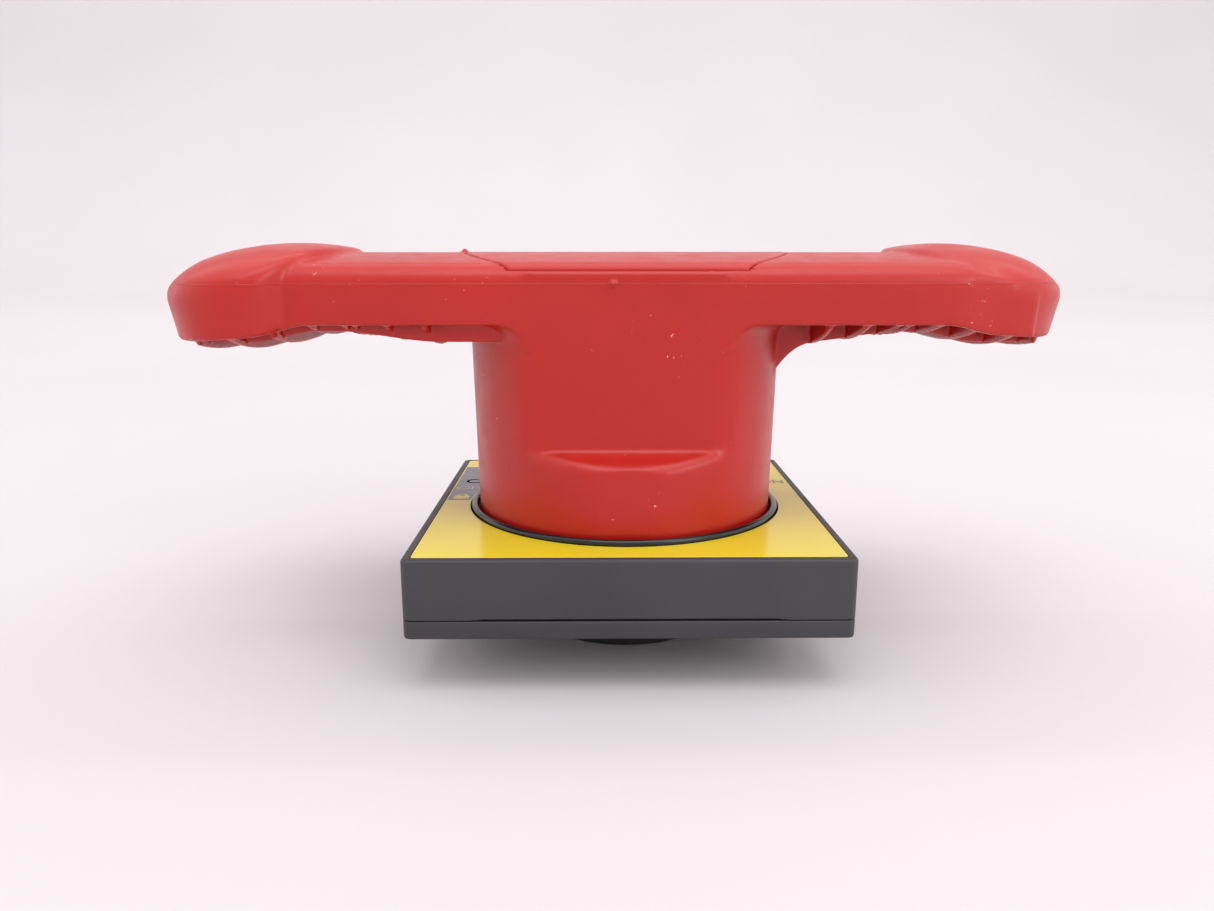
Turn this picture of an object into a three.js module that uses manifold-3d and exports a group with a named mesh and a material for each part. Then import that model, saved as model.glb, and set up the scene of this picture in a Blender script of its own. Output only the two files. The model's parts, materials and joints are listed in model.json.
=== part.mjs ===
// Door-mounted rotary operating handle, lockable with padlocks.
// Millimetres, +Z up. The origin is under the middle of the rear boss, where the object rests.
// X runs along the grip, Z is the turning axis. The handle is drawn in its OFF position.
import * as THREE from 'three';
import { mergeVertices } from 'three/addons/utils/BufferGeometryUtils.js';
import Module from 'manifold-3d';

const wasm = await Module();
wasm.setup();

// ---------- driving dimensions ----------
const BASE_SIDE = 98;          // square base
const BOSS_DROP = 12.5;        // rear boss below the base
const BASE_DEPTH = 18;         // base, back cover included
const GAP = 0.3;               // running clearance
const SEAM = 0.05;             // between stacked flat faces

const PLATE_Z = BOSS_DROP + BASE_DEPTH;      // front face of the base
const COVER_TOP = BOSS_DROP + 4.1;           // top of the back cover
const BASE_CORNER = 1.8;
const FILM_DEPTH = 0.4;
const FILM_MARGIN = 2.0;

const RING_R = 39.7;           // glossy trim ring
const RING_INNER = 38.0;
const COLUMN_R = 37.4;         // column at its foot
const COLUMN_TOP_R = 38.5;     // and under the grip
const COLUMN_FOOT = 28.6;
const COLUMN_WALL = 3;

const GRIP_HALF_WIDTH = 30.6;  // flat walls of the grip
const GRIP_WALL_Z = 78.2;      // lower edge of the grip's walls
const GRIP_EDGE_Z = 89.6;      // where the walls start to round over
const GRIP_CREST_Z = 94.4;     // top of the straight arms
const LOBE_START = 64;         // the domed ends begin
const LOBE_MIDDLE = 84;        // middle of a domed end
const LOBE_SHIFT = 3.6;          // it leans this far towards the side that the turning hand pushes
const LOBE_HALF_WIDTH = 32.4;
const LOBE_FLOOR_Z = 75;
const DOME_CREST = 77.5;       // highest place of the domes
const DOME_BASE_Z = 85.6;      // height of the dome's edge
const DOME_RISE = 11.2;
const TIP_X = 108;
const SHELL = 2.8;             // wall of the hollow grip
const RIB = 1.5;
const RIB_START = 45;
const RIB_PITCH = 8.3;
const RIB_COUNT = 8;
const DOUBLE_RIB = 2;          // index of the rib that is split in two thin ones
const WEB_Y = [25.5, -13];     // long webs of the right arm; the left arm's are turned half a turn

const FLAT_LEDGE_Z = 48.6;     // foot of the flats cut into the column
const TRAVEL = 14;             // padlock tongue, upwards
const BOLT_TRAVEL = 3.5;       // lock bolts, outwards
const BOLT_Z = 24.9;           // middle of the lock bolts
const HUB_R = 34;
const SOCKET = 10.2;           // square shaft socket
const STEM_FOOT = 3;           // lower end of the socket stem
const ROUND = 44;              // flats on a large round
const SMALL = 10;              // flats on a screw
const BOSS_R = 24.5;

// ---------- solids ----------
function toSolid(source) {
  const bare = source.index ? source.toNonIndexed() : source.clone();
  bare.deleteAttribute('normal');
  bare.deleteAttribute('uv');
  const merged = mergeVertices(bare, 1e-4);
  const triVerts = [];
  const index = merged.index.array;
  for (let i = 0; i < index.length; i += 3) {
    const [a, b, c] = [index[i], index[i + 1], index[i + 2]];
    if (a !== b && b !== c && c !== a) triVerts.push(a, b, c);
  }
  const vertProperties = new Float32Array(merged.attributes.position.array);
  if (signedVolume(vertProperties, triVerts) < 0) {
    for (let i = 0; i < triVerts.length; i += 3) {
      [triVerts[i], triVerts[i + 1]] = [triVerts[i + 1], triVerts[i]];
    }
  }
  return new wasm.Manifold(
    new wasm.Mesh({ numProp: 3, vertProperties, triVerts: new Uint32Array(triVerts) }));
}

function signedVolume(p, tris) {
  const corner = (i) => new THREE.Vector3(p[3 * i], p[3 * i + 1], p[3 * i + 2]);
  let sum = 0;
  for (let i = 0; i < tris.length; i += 3) {
    sum += corner(tris[i]).dot(corner(tris[i + 1]).cross(corner(tris[i + 2])));
  }
  return sum / 6;
}

function toGeometry(solid) {
  const mesh = solid.getMesh();
  const out = new THREE.BufferGeometry();
  const points = new Float32Array(mesh.numVert * 3);
  for (let i = 0; i < mesh.numVert; i++) {
    for (let k = 0; k < 3; k++) points[3 * i + k] = mesh.vertProperties[mesh.numProp * i + k];
  }
  out.setAttribute('position', new THREE.BufferAttribute(points, 3));
  out.setIndex(new THREE.BufferAttribute(new Uint32Array(mesh.triVerts), 1));
  out.computeVertexNormals();
  return out;
}

const join = (first, ...rest) => rest.reduce((sum, next) => sum.add(next), first);
const cut = (first, ...rest) => rest.reduce((left, next) => left.subtract(next), first);

// A block between two corners, turned about Z by an angle in radians.
function box(x0, x1, y0, y1, z0, z1, angle = 0) {
  const shape = new THREE.BoxGeometry(Math.abs(x1 - x0), Math.abs(y1 - y0), z1 - z0);
  shape.translate((x0 + x1) / 2, (y0 + y1) / 2, (z0 + z1) / 2);
  shape.rotateZ(angle);
  return toSolid(shape);
}

// A body of revolution about Z from [radius, height] points that close on themselves or on the axis.
function turned(profile, segments = ROUND, x = 0, y = 0) {
  const closed = profile.every(([r]) => r > 0) ? [...profile, profile[0]] : profile;
  const shape = new THREE.LatheGeometry(closed.map(([r, z]) => new THREE.Vector2(r, z)), segments);
  shape.rotateX(Math.PI / 2);
  shape.translate(x, y, 0);
  return toSolid(shape);
}

const disc = (r, z0, z1, segments = ROUND, x = 0, y = 0) =>
  turned([[0, z0], [r, z0], [r, z1], [0, z1]], segments, x, y);
const tube = (r0, r1, z0, z1) => turned([[r0, z0], [r1, z0], [r1, z1], [r0, z1]]);

// A round bar along Y.
function barY(r, y0, y1, x, z, segments = SMALL) {
  const shape = new THREE.CylinderGeometry(r, r, y1 - y0, segments);
  shape.translate(x, (y0 + y1) / 2, z);
  return toSolid(shape);
}

// An outline in X and Y, raised from z0 to z1.
function prism(outline, z0, z1) {
  const shape = new THREE.ExtrudeGeometry(outline, {
    depth: z1 - z0, bevelEnabled: false, curveSegments: 4 });
  shape.translate(0, 0, z0);
  return toSolid(shape);
}

// An outline drawn in Y and Z, extruded along X from x0.
function alongX(outline, depth, x0) {
  const shape = new THREE.ExtrudeGeometry(outline, { depth, bevelEnabled: false, curveSegments: 4 });
  shape.rotateX(Math.PI / 2);
  shape.rotateZ(Math.PI / 2);
  shape.translate(x0, 0, 0);
  return toSolid(shape);
}

function roundedSquare(half, radius) {
  const s = new THREE.Shape();
  s.moveTo(half, radius - half);
  s.lineTo(half, half - radius);
  s.absarc(half - radius, half - radius, radius, 0, Math.PI / 2);
  s.lineTo(radius - half, half);
  s.absarc(radius - half, half - radius, radius, Math.PI / 2, Math.PI);
  s.lineTo(-half, radius - half);
  s.absarc(radius - half, radius - half, radius, Math.PI, 1.5 * Math.PI);
  s.lineTo(half - radius, -half);
  s.absarc(half - radius, radius - half, radius, 1.5 * Math.PI, 2 * Math.PI);
  return s;
}

// A skin through rings of points, one ring for each station, closed by a fan at both ends.
function loft(rings) {
  const points = rings.flat();
  const count = rings[0].length;
  const index = [];
  for (let r = 0; r + 1 < rings.length; r++) {
    for (let i = 0; i < count; i++) {
      const a = r * count + i;
      const b = r * count + (i + 1) % count;
      index.push(a, b, b + count, a, b + count, a + count);
    }
  }
  for (const [start, turn] of [[0, 1], [(rings.length - 1) * count, -1]]) {
    for (let i = 1; i + 1 < count; i++) {
      if (turn > 0) index.push(start, start + i + 1, start + i);
      else index.push(start, start + i, start + i + 1);
    }
  }
  const shape = new THREE.BufferGeometry();
  shape.setAttribute('position', new THREE.Float32BufferAttribute(points.flat(), 3));
  shape.setIndex(index);
  return toSolid(shape);
}

const smooth = (a, b, t) => {
  const k = Math.min(1, Math.max(0, (t - a) / (b - a)));
  return k * k * (3 - 2 * k);
};
const mix = (a, b, k) => a + (b - a) * k;
const radial = (count, radius, start = 0) => Array.from({ length: count }, (_, i) => {
  const angle = start + (2 * Math.PI * i) / count;
  return [radius * Math.cos(angle), radius * Math.sin(angle)];
});
const corners = (offset) => [[offset, offset], [-offset, offset], [-offset, -offset], [offset, -offset]];

// ---------- the grip's outer form, as functions of the distance from the middle ----------
function gripForm(x) {
  const d = Math.abs(x);
  const lobe = smooth(LOBE_START, LOBE_MIDDLE - 4, d);
  const reach = (from) => Math.max(0, (d - from) / (TIP_X - from));
  const plan = Math.pow(Math.max(0.02, 1 - Math.pow(reach(LOBE_MIDDLE), 2.2)), 0.45);
  const dome = DOME_BASE_Z + DOME_RISE * Math.pow(Math.max(0, 1 - Math.pow(reach(DOME_CREST), 1.9)), 0.75);
  return {
    middle: Math.sign(x) * LOBE_SHIFT * lobe,
    width: mix(GRIP_HALF_WIDTH, LOBE_HALF_WIDTH, lobe) * plan,
    top: mix(GRIP_CREST_Z, dome, smooth(LOBE_START, DOME_CREST, d)),
    edge: mix(GRIP_EDGE_Z, DOME_BASE_Z - 1, lobe * reach(LOBE_START) ** 1.5),
    floor: mix(GRIP_WALL_Z, LOBE_FLOOR_Z, smooth(70, 90, d)) + 3 * reach(102) ** 2,
  };
}

function gripRing(x, inset) {
  const form = gripForm(x);
  const w = Math.max(0.4, form.width - inset);
  const top = form.top - inset;
  const edge = Math.min(form.edge - inset * 0.6, top - 0.8);
  const floor = inset > 0 ? 60 : form.floor;
  const [low, high] = [form.middle - w, form.middle + w];
  const ring = [[x, low, floor], [x, high, floor], [x, high, edge]];
  const steps = 7;
  for (let i = 1; i < steps; i++) {
    const a = (Math.PI * i) / steps;
    const y = form.middle + w * Math.sign(Math.cos(a)) * Math.pow(Math.abs(Math.cos(a)), 0.55);
    const z = edge + (top - edge) * Math.pow(Math.sin(a), 0.62);
    ring.push([x, y, z]);
  }
  ring.push([x, low, edge]);
  return ring;
}

function gripBody(inset) {
  const end = TIP_X - inset;
  const stations = [1, 0.99, 0.965, 0.925, 0.87, 0.81, 0.75, 0.69, 0.63, 0.57];
  const along = [...stations.map((s) => -s), ...stations.reverse()].map((s) => s * end);
  return loft(along.map((x) => gripRing(x, inset)));
}

// Lower edge of a cross rib at the middle of the grip, and of the long webs.
function ribFloor(x) {
  const d = Math.abs(x);
  return mix(mix(70.8, 74, smooth(40, 68, d)), 70.9, smooth(71, 84, d)) + 2.5 * smooth(94, 106, d);
}

function webOutline() {
  const outline = new THREE.Shape();
  [[37, 73.6], [64, 75.6], [72, 75.6], [83, 73.2], [98, 74.4], [98, 88], [37, 88]].forEach(([x, z], i) => {
    if (i === 0) outline.moveTo(x, z);
    else outline.lineTo(x, z);
  });
  return outline;
}

// Thin cross ribs with a bowed lower edge, and two webs along each arm, kept inside the grip's skin.
function gripRibs() {
  const parts = [];
  for (const side of [-1, 1]) {
    for (let i = 0; i < RIB_COUNT; i++) {
      const x = side * (RIB_START + i * RIB_PITCH);
      if (i === DOUBLE_RIB) parts.push(crossRib(x - 1.2, 1), crossRib(x + 1.2, 1));
      else parts.push(crossRib(x, RIB));
    }
    for (const y of WEB_Y) {
      const web = new THREE.ExtrudeGeometry(webOutline(), { depth: RIB, bevelEnabled: false });
      web.rotateX(Math.PI / 2);
      web.translate(0, y + RIB / 2, 0);
      if (side < 0) web.rotateZ(Math.PI);
      parts.push(toSolid(web));
    }
  }
  return join(...parts);
}

function crossRib(x, thickness) {
  const { middle, width, floor, edge, top } = gripForm(x);
  const w = width - 1;
  const [low, wall] = [ribFloor(x), floor + 1];
  const [shoulder, peak] = [edge - 2, top - 1.5];
  const outline = new THREE.Shape();
  outline.moveTo(middle - w, shoulder);
  outline.lineTo(middle - w, wall);
  outline.quadraticCurveTo(middle - w * 0.75, low, middle, low);
  outline.quadraticCurveTo(middle + w * 0.75, low, middle + w, wall);
  outline.lineTo(middle + w, shoulder);
  outline.lineTo(middle + w * 0.5, peak);
  outline.lineTo(middle - w * 0.5, peak);
  return alongX(outline, thickness, x - thickness / 2);
}

// ---------- padlock tongue and lock bolts ----------
const LEG_X = [9, 21];                       // each leg of the padlock tongue
const TONGUE_Y = 1.5;                        // half its thickness
const TONGUE_X = 22;                         // half its width
const PIN_R = 1.5;
const PIN_X = LEG_X[0] + (LEG_X[1] - LEG_X[0] - BOLT_TRAVEL) / 2;
const LEG_FOOT = BOLT_Z - TRAVEL - 5;
const BOLT_HALF_Z = 2.1;
const BOLT_HALF_Y = 5;
const BOLT_INNER = PIN_X - 9;
const HOLE_R = 4.3;                          // shackle holes
const HOLE_PITCH = 14;
const SHACKLE_Z = 82.6;                      // middle of the shackle holes at rest
const COVER_UNDER = 89.4;                    // underside of the top cover
const COVER_R = 39.2;
const COVER_HALF_Y = 29.2;
const FLANGE = [12, 5, 1.4];                 // flange that carries the top cover: half sizes and thickness
const COVER_PINS = [[-8, 3.2], [8, -3.2]];
const DECK_UNDER = 86;                       // underside of the deck below the cover
const GUIDE_LOW = 78.5;
const SPRING_Y = 8.4;
const SPRING_R = 2.8;
const SPRING_WIRE = 0.7;
const ARM_Z = [60, 63];                      // arm of the tongue that carries the spring

// Slot whose lean turns the tongue's lift into the bolt's stroke.
function driveSlot(side) {
  const r = PIN_R + 0.25;
  const [x0, x1] = [side * PIN_X, side * (PIN_X + BOLT_TRAVEL)];
  const [z0, z1] = [BOLT_Z, BOLT_Z - TRAVEL];
  const lean = Math.atan2(z1 - z0, x1 - x0);
  const outline = new THREE.Shape();
  outline.absarc(x0, z0, r, lean + Math.PI / 2, lean + 1.5 * Math.PI, false);
  outline.absarc(x1, z1, r, lean - Math.PI / 2, lean + Math.PI / 2, false);
  const shape = new THREE.ExtrudeGeometry(outline, { depth: 8, bevelEnabled: false, curveSegments: 6 });
  shape.rotateX(Math.PI / 2);
  shape.translate(0, 4, 0);
  return toSolid(shape);
}

function lockTongue() {
  let body = box(-TONGUE_X, TONGUE_X, -TONGUE_Y, TONGUE_Y, ARM_Z[0], COVER_UNDER - SEAM);
  const [fx, fy, ft] = FLANGE;
  body = join(body, box(-fx, fx, -fy, fy, COVER_UNDER - SEAM - ft, COVER_UNDER - SEAM),
    box(-4, 4, 0, SPRING_Y + 3.8, ...ARM_Z));
  for (const side of [-1, 1]) {
    const leg = box(side * LEG_X[0], side * LEG_X[1], -TONGUE_Y, TONGUE_Y, LEG_FOOT, ARM_Z[0] + 1);
    body = cut(join(body, leg), driveSlot(side));
  }
  for (const i of [-1, 0, 1]) body = cut(body, barY(HOLE_R, -9, 9, i * HOLE_PITCH, SHACKLE_Z, 2 * SMALL));
  const pinHoles = COVER_PINS.map(([x, y]) => disc(1.1, 80, 95, SMALL, x, y));
  return cut(body, ...pinHoles);
}

const coverPin = ([x, y]) => disc(1, COVER_UNDER - SEAM - 1.3, COVER_UNDER + 1.8, SMALL, x, y);

function lockBolt(side) {
  const body = box(side * BOLT_INNER, side * (HUB_R - 0.5), -BOLT_HALF_Y, BOLT_HALF_Y,
    BOLT_Z - BOLT_HALF_Z, BOLT_Z + BOLT_HALF_Z);
  const window = box(side * (LEG_X[0] - BOLT_TRAVEL - GAP), side * (LEG_X[1] + GAP),
    -TONGUE_Y - GAP, TONGUE_Y + GAP, BOLT_Z - 5, BOLT_Z + 5);
  return cut(body, window, barY(PIN_R + 0.1, -9, 9, side * PIN_X, BOLT_Z));
}

const boltPin = (side) => barY(PIN_R, GAP - BOLT_HALF_Y, BOLT_HALF_Y - GAP, side * PIN_X, BOLT_Z);

class Helix extends THREE.Curve {
  constructor(x, y, z0, z1, radius, turns) {
    super();
    Object.assign(this, { x, y, z0, z1, radius, turns });
  }
  getPoint(t, target = new THREE.Vector3()) {
    const a = 2 * Math.PI * this.turns * t;
    return target.set(this.x + this.radius * Math.cos(a), this.y + this.radius * Math.sin(a),
      this.z0 + (this.z1 - this.z0) * t);
  }
}

// Compression spring between the tongue's arm and the underside of the deck.
function tongueSpring() {
  const wire = new THREE.Shape();
  wire.absarc(0, 0, SPRING_WIRE / 2, 0, 2 * Math.PI);
  const margin = SPRING_WIRE / 2 + 0.1;
  const turns = 6;
  const path = new Helix(0, SPRING_Y, ARM_Z[1] + margin, DECK_UNDER - margin, SPRING_R, turns);
  return toSolid(new THREE.ExtrudeGeometry(wire, { steps: 10 * turns, extrudePath: path, curveSegments: 3 }));
}

// The inset cover: a disc clipped by the grip's straight edges.
function coverOutline(grow, z0, z1) {
  const y = COVER_HALF_Y + grow;
  const r = COVER_R + grow;
  const angle = Math.asin(y / r);
  const outline = new THREE.Shape();
  outline.absarc(0, 0, r, -angle, angle, false);
  outline.absarc(0, 0, r, Math.PI - angle, Math.PI + angle, false);
  const shape = new THREE.ExtrudeGeometry(outline, {
    depth: z1 - z0, bevelEnabled: false, curveSegments: 12 });
  shape.translate(0, 0, z0);
  return toSolid(shape);
}

function topCover() {
  const proud = 0.3;
  const rings = [-44, -20, 0, 20, 44].map((x) => gripRing(x, 0).map(([a, b, c]) => [a, b, c + proud]));
  const cover = coverOutline(0, COVER_UNDER, 100).intersect(loft(rings));
  return cut(cover, ...COVER_PINS.map(([x, y]) => disc(1.1, 80, COVER_UNDER + 2, SMALL, x, y)));
}

// ---------- handle ----------
const HUB_TOP = 32;
const HUB_LOW = 21.3;
const HUB_SCREW_SPOTS = radial(4, 24, Math.PI / 4);
const PLATE_SCREW_SPOTS = radial(4, 30.5, Math.PI / 8);
const ARM_ROOM_X = 38.5;

function columnBody(inset) {
  const foot = inset > 0 ? COLUMN_FOOT - 1 : COLUMN_FOOT;
  const top = inset > 0 ? DECK_UNDER : COVER_UNDER;
  const [r0, r1] = [COLUMN_R - inset, COLUMN_TOP_R - inset];
  return turned([[0, foot], [r0, foot], [r1, 80], [r1, top], [0, top]]);
}

// The two blocks cut away so that the column is flat at the front and the back.
function columnFlats(inset) {
  const face = GRIP_HALF_WIDTH - inset;
  const ledge = FLAT_LEDGE_Z - inset;
  return [-1, 1].map((side) => {
    const outline = new THREE.Shape();
    outline.moveTo(side * face, ledge + 1.6);
    outline.lineTo(side * face, 100);
    outline.lineTo(side * 60, 100);
    outline.lineTo(side * 60, ledge - 1.6);
    outline.lineTo(side * (COLUMN_R + 2), ledge - 1.6);
    return alongX(outline, 120, -60);
  });
}

// Cheek under each arm that rounds the arm into the column.
function armFillet(side) {
  const r = 4.5;
  const root = 37;
  const reach = COLUMN_TOP_R + r - 0.2;
  const outline = new THREE.Shape();
  outline.moveTo(side * root, GRIP_WALL_Z + 2);
  outline.lineTo(side * reach, GRIP_WALL_Z + 2);
  outline.lineTo(side * reach, GRIP_WALL_Z);
  outline.absarc(side * reach, GRIP_WALL_Z - r, r, Math.PI / 2, side > 0 ? Math.PI : 0, side < 0);
  outline.lineTo(side * root, GRIP_WALL_Z - r);
  const shape = new THREE.ExtrudeGeometry(outline, { depth: 46, bevelEnabled: false, curveSegments: 5 });
  shape.rotateX(Math.PI / 2);
  shape.translate(0, 23, 0);
  return toSolid(shape);
}

function handleShell() {
  const outside = join(gripBody(0), cut(columnBody(0), ...columnFlats(0)), armFillet(1), armFillet(-1));
  const armRoom = cut(gripBody(SHELL), box(-ARM_ROOM_X, ARM_ROOM_X, -60, 60, 40, 100));
  const columnRoom = cut(columnBody(COLUMN_WALL), ...columnFlats(COLUMN_WALL));
  let shell = cut(join(cut(outside, armRoom), gripRibs()), columnRoom);
  for (const [x, y] of HUB_SCREW_SPOTS) {
    shell = join(shell, disc(4, HUB_TOP + SEAM, DECK_UNDER + 2, SMALL, x, y));
    shell = cut(shell, disc(1.6, HUB_TOP - 1, HUB_TOP + 12, SMALL, x, y));
  }
  const guide = box(-26, 26, -4.2, 4.2, GUIDE_LOW, DECK_UNDER + 1);
  const slot = box(-TONGUE_X - GAP, TONGUE_X + GAP, -TONGUE_Y - GAP, TONGUE_Y + GAP, 40, 100);
  const [fx, fy, ft] = FLANGE;
  const flangeRoom = box(-fx - GAP, fx + GAP, -fy - GAP, fy + GAP, COVER_UNDER - ft - 2 * GAP, 100);
  return cut(join(shell, guide), slot, flangeRoom, coverOutline(GAP, COVER_UNDER - GAP, 100));
}

function driverHub() {
  const drum = disc(HUB_R, HUB_LOW, HUB_TOP);
  const stem = box(-8.5, 8.5, -15, 15, STEM_FOOT, HUB_LOW + 1);
  const socket = box(-SOCKET / 2, SOCKET / 2, -SOCKET / 2, SOCKET / 2, STEM_FOOT - 1, 20);
  let hub = cut(join(drum, stem), socket);
  for (const side of [-1, 1]) {
    hub = cut(hub,
      box(side * (LEG_X[0] - 0.4), side * (LEG_X[1] + 0.4), -TONGUE_Y - 0.4, TONGUE_Y + 0.4, 0, 40),
      box(side * (BOLT_INNER - 0.4), side * 40, -BOLT_HALF_Y - GAP, BOLT_HALF_Y + GAP,
        BOLT_Z - BOLT_HALF_Z - GAP, BOLT_Z + BOLT_HALF_Z + GAP));
  }
  for (const [x, y] of HUB_SCREW_SPOTS) {
    hub = cut(hub, disc(2.1, HUB_LOW - 1, HUB_TOP + 1, SMALL, x, y), disc(4, HUB_LOW - 1, 25.5, SMALL, x, y));
  }
  return cut(hub, ...PLATE_SCREW_SPOTS.map(([x, y]) => disc(1.4, HUB_LOW - 1, 29, SMALL, x, y)));
}

// A slotted screw that points up from z, head first.
function screwUp([x, y], z, headR, headH, shankR, length) {
  const top = z + headH + length;
  const body = turned([[0, z], [headR, z], [headR, z + headH], [shankR, z + headH],
    [shankR, top - 0.6], [shankR * 0.5, top], [0, top]], SMALL, x, y);
  return cut(body, box(x - headR * 0.75, x + headR * 0.75, y - 0.4, y + 0.4, z - 1, z + headH * 0.5));
}

const hubScrew = (spot) => screwUp(spot, 22, 3.6, 3.45, 1.5, 14);
const plateScrew = (spot) => screwUp(spot, 18.6, 1.9, 1.25, 1.2, 8);

function retainingPlate() {
  const holes = [...PLATE_SCREW_SPOTS.map(([x, y]) => disc(1.5, 19, 22, SMALL, x, y)),
    ...HUB_SCREW_SPOTS.map(([x, y]) => disc(4.3, 19, 22, SMALL, x, y))];
  return cut(tube(23.5, 36.2, 19.9, HUB_LOW - SEAM), ...holes);
}

// ---------- base ----------
const RING_FOOT = 27.3;        // top of the index ring and seat of the washer
const SKIRT_R = 45.2;
const POST_SPOTS = corners(39.6);
const INSERT_SPOTS = corners(34.5);
const BOSS_ROOM_R = 22;
const LOCK_SPOTS = radial(3, 19.9, Math.PI / 2);
const KEY_ANGLES = [1, 3, 5, 7].map((n) => (n * Math.PI) / 4);

function baseHousing() {
  const half = BASE_SIDE / 2;
  let body = prism(roundedSquare(half, BASE_CORNER), COVER_TOP + 0.15, PLATE_Z);
  body = cut(body, prism(roundedSquare(half - 2.6, 1), COVER_TOP - 1, PLATE_Z - 3));
  body = join(body, tube(SKIRT_R, SKIRT_R + 1.1, COVER_TOP + 0.4, PLATE_Z - 2));
  for (const [x, y] of POST_SPOTS) body = join(body, disc(4.4, COVER_TOP + 0.4, PLATE_Z - 2, SMALL, x, y));
  const film = prism(roundedSquare(half - FILM_MARGIN + 0.2, 1), PLATE_Z - FILM_DEPTH - SEAM, 60);
  body = cut(body, disc(RING_R + GAP, 0, 60), disc(SKIRT_R, 0, PLATE_Z - 3), film);
  for (const angle of KEY_ANGLES) {
    body = join(body, box(SKIRT_R - 2, SKIRT_R + 0.6, -2, 2, 22, PLATE_Z - 2, angle));
  }
  return cut(body, ...POST_SPOTS.map(([x, y]) => disc(1.35, 0, COVER_TOP + 9, SMALL, x, y)));
}

// Fixed ring with four notches that take the lock bolts at OFF and ON.
function indexRing() {
  let ring = tube(HUB_R + GAP, SKIRT_R - GAP, 21.9, RING_FOOT - 0.1);
  for (const angle of [0, 1, 2, 3].map((n) => (n * Math.PI) / 2)) {
    ring = cut(ring, box(HUB_R - 2, HUB_R + BOLT_TRAVEL + 1.1, -BOLT_HALF_Y - 0.6, BOLT_HALF_Y + 0.6,
      21, 28, angle));
  }
  for (const angle of KEY_ANGLES) {
    ring = cut(ring, box(SKIRT_R - 2.3, SKIRT_R + 2, -2.3, 2.3, 21, 28, angle));
  }
  return ring;
}

function backCover() {
  const half = BASE_SIDE / 2;
  let cover = prism(roundedSquare(half, BASE_CORNER), BOSS_DROP, COVER_TOP);
  cover = join(cover, tube(39, 43, COVER_TOP - 1, 21.8));
  cover = cut(cover, disc(BOSS_R + GAP, 0, 60));
  const groove = cut(prism(roundedSquare(half - 3, 3), 0, BOSS_DROP + 1.6),
    prism(roundedSquare(half - 6, 2), 0, BOSS_DROP + 1.6));
  cover = cut(cover, groove);
  for (const [x, y] of POST_SPOTS) {
    cover = cut(cover, disc(1.7, 0, 60, SMALL, x, y), disc(3, 0, BOSS_DROP + 2.4, SMALL, x, y));
  }
  return cut(cover, ...INSERT_SPOTS.map(([x, y]) => disc(3.3, 0, 60, SMALL, x, y)));
}

const coverScrew = (spot) => screwUp(spot, BOSS_DROP + 0.3, 2.7, 2, 1.2, 9.5);

// Threaded brass insert for a door screw.
const doorInsert = ([x, y]) => turned([[1.7, BOSS_DROP + 0.1], [3, BOSS_DROP + 0.1], [3, COVER_TOP - 0.1],
  [1.7, COVER_TOP - 0.1]], SMALL, x, y);

function doorGasket() {
  const half = BASE_SIDE / 2;
  return cut(prism(roundedSquare(half - 3.2, 3), BOSS_DROP + 0.05, BOSS_DROP + 1.5),
    prism(roundedSquare(half - 5.8, 2), 0, 60));
}

function rearBoss() {
  let boss = turned([[18.2, 2.7], [BOSS_ROOM_R - 0.2, 2.7], [BOSS_ROOM_R - 0.2, 0],
    [BOSS_R - 0.8, 0], [BOSS_R, 0.8], [BOSS_R, COVER_TOP + 0.05], [27, COVER_TOP + 0.05], [27, 19.2],
    [BOSS_ROOM_R, 19.2], [BOSS_ROOM_R, 4.8], [18.2, 4.8]]);
  for (const [x, y] of LOCK_SPOTS) boss = cut(boss, disc(0.9, 0, 4.2, SMALL, x, y));
  return boss;
}

// Keyed steel plate: the cross pin of the shaft goes through it only at OFF.
function interlockPlate() {
  const plate = disc(BOSS_ROOM_R - 0.6, 1.1, 2.5);
  const keyway = box(-12.5, 12.5, -2.6, 2.6, 0, 4);
  const screwHoles = LOCK_SPOTS.map(([x, y]) => disc(1.1, 0, 4, SMALL, x, y));
  return cut(plate, disc(8.2, 0, 4, 2 * SMALL), keyway, ...screwHoles);
}

const interlockScrew = (spot) => screwUp(spot, 0.15, 1.4, 0.85, 0.8, 3);

function legendPlate() {
  const half = BASE_SIDE / 2 - FILM_MARGIN;
  return cut(prism(roundedSquare(half, 0.9), PLATE_Z - FILM_DEPTH, PLATE_Z), disc(RING_R + 0.4, 0, 60));
}

const trimRing = () => turned([[RING_INNER, 28.8], [RING_R, 28.8], [RING_R, PLATE_Z + 0.7],
  [RING_R - 0.5, PLATE_Z + 1.2], [RING_INNER + 0.5, PLATE_Z + 1.2], [RING_INNER, PLATE_Z + 0.7]]);
const shaftSeal = () => tube(RING_INNER - 0.3, RING_R, RING_FOOT + 0.05, 28.7);
const waveWasher = () => tube(HUB_R + 0.6, COLUMN_R - GAP, RING_FOOT, COLUMN_FOOT - 0.1);

// ---------- colours and assembly ----------
const LOOKS = {
  red: [0xc02a22, 0.42, 0], yellow: [0xf0c62e, 0.3, 0], grey: [0x4b4d52, 0.6, 0],
  black: [0x17171a, 0.3, 0], steel: [0xb9bcc0, 0.35, 0.9], brass: [0xc9a860, 0.35, 0.9],
  rubber: [0x222224, 0.85, 0],
};
const object = new THREE.Group();

function add(name, solid, look) {
  const [color, roughness, metalness] = LOOKS[look];
  const mesh = new THREE.Mesh(toGeometry(solid), new THREE.MeshStandardMaterial({
    color, roughness, metalness }));
  mesh.name = name;
  object.add(mesh);
}

const addEach = (name, spots, make, look) =>
  spots.forEach((spot, i) => add(`${name}_${i + 1}`, make(spot), look));

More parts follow.
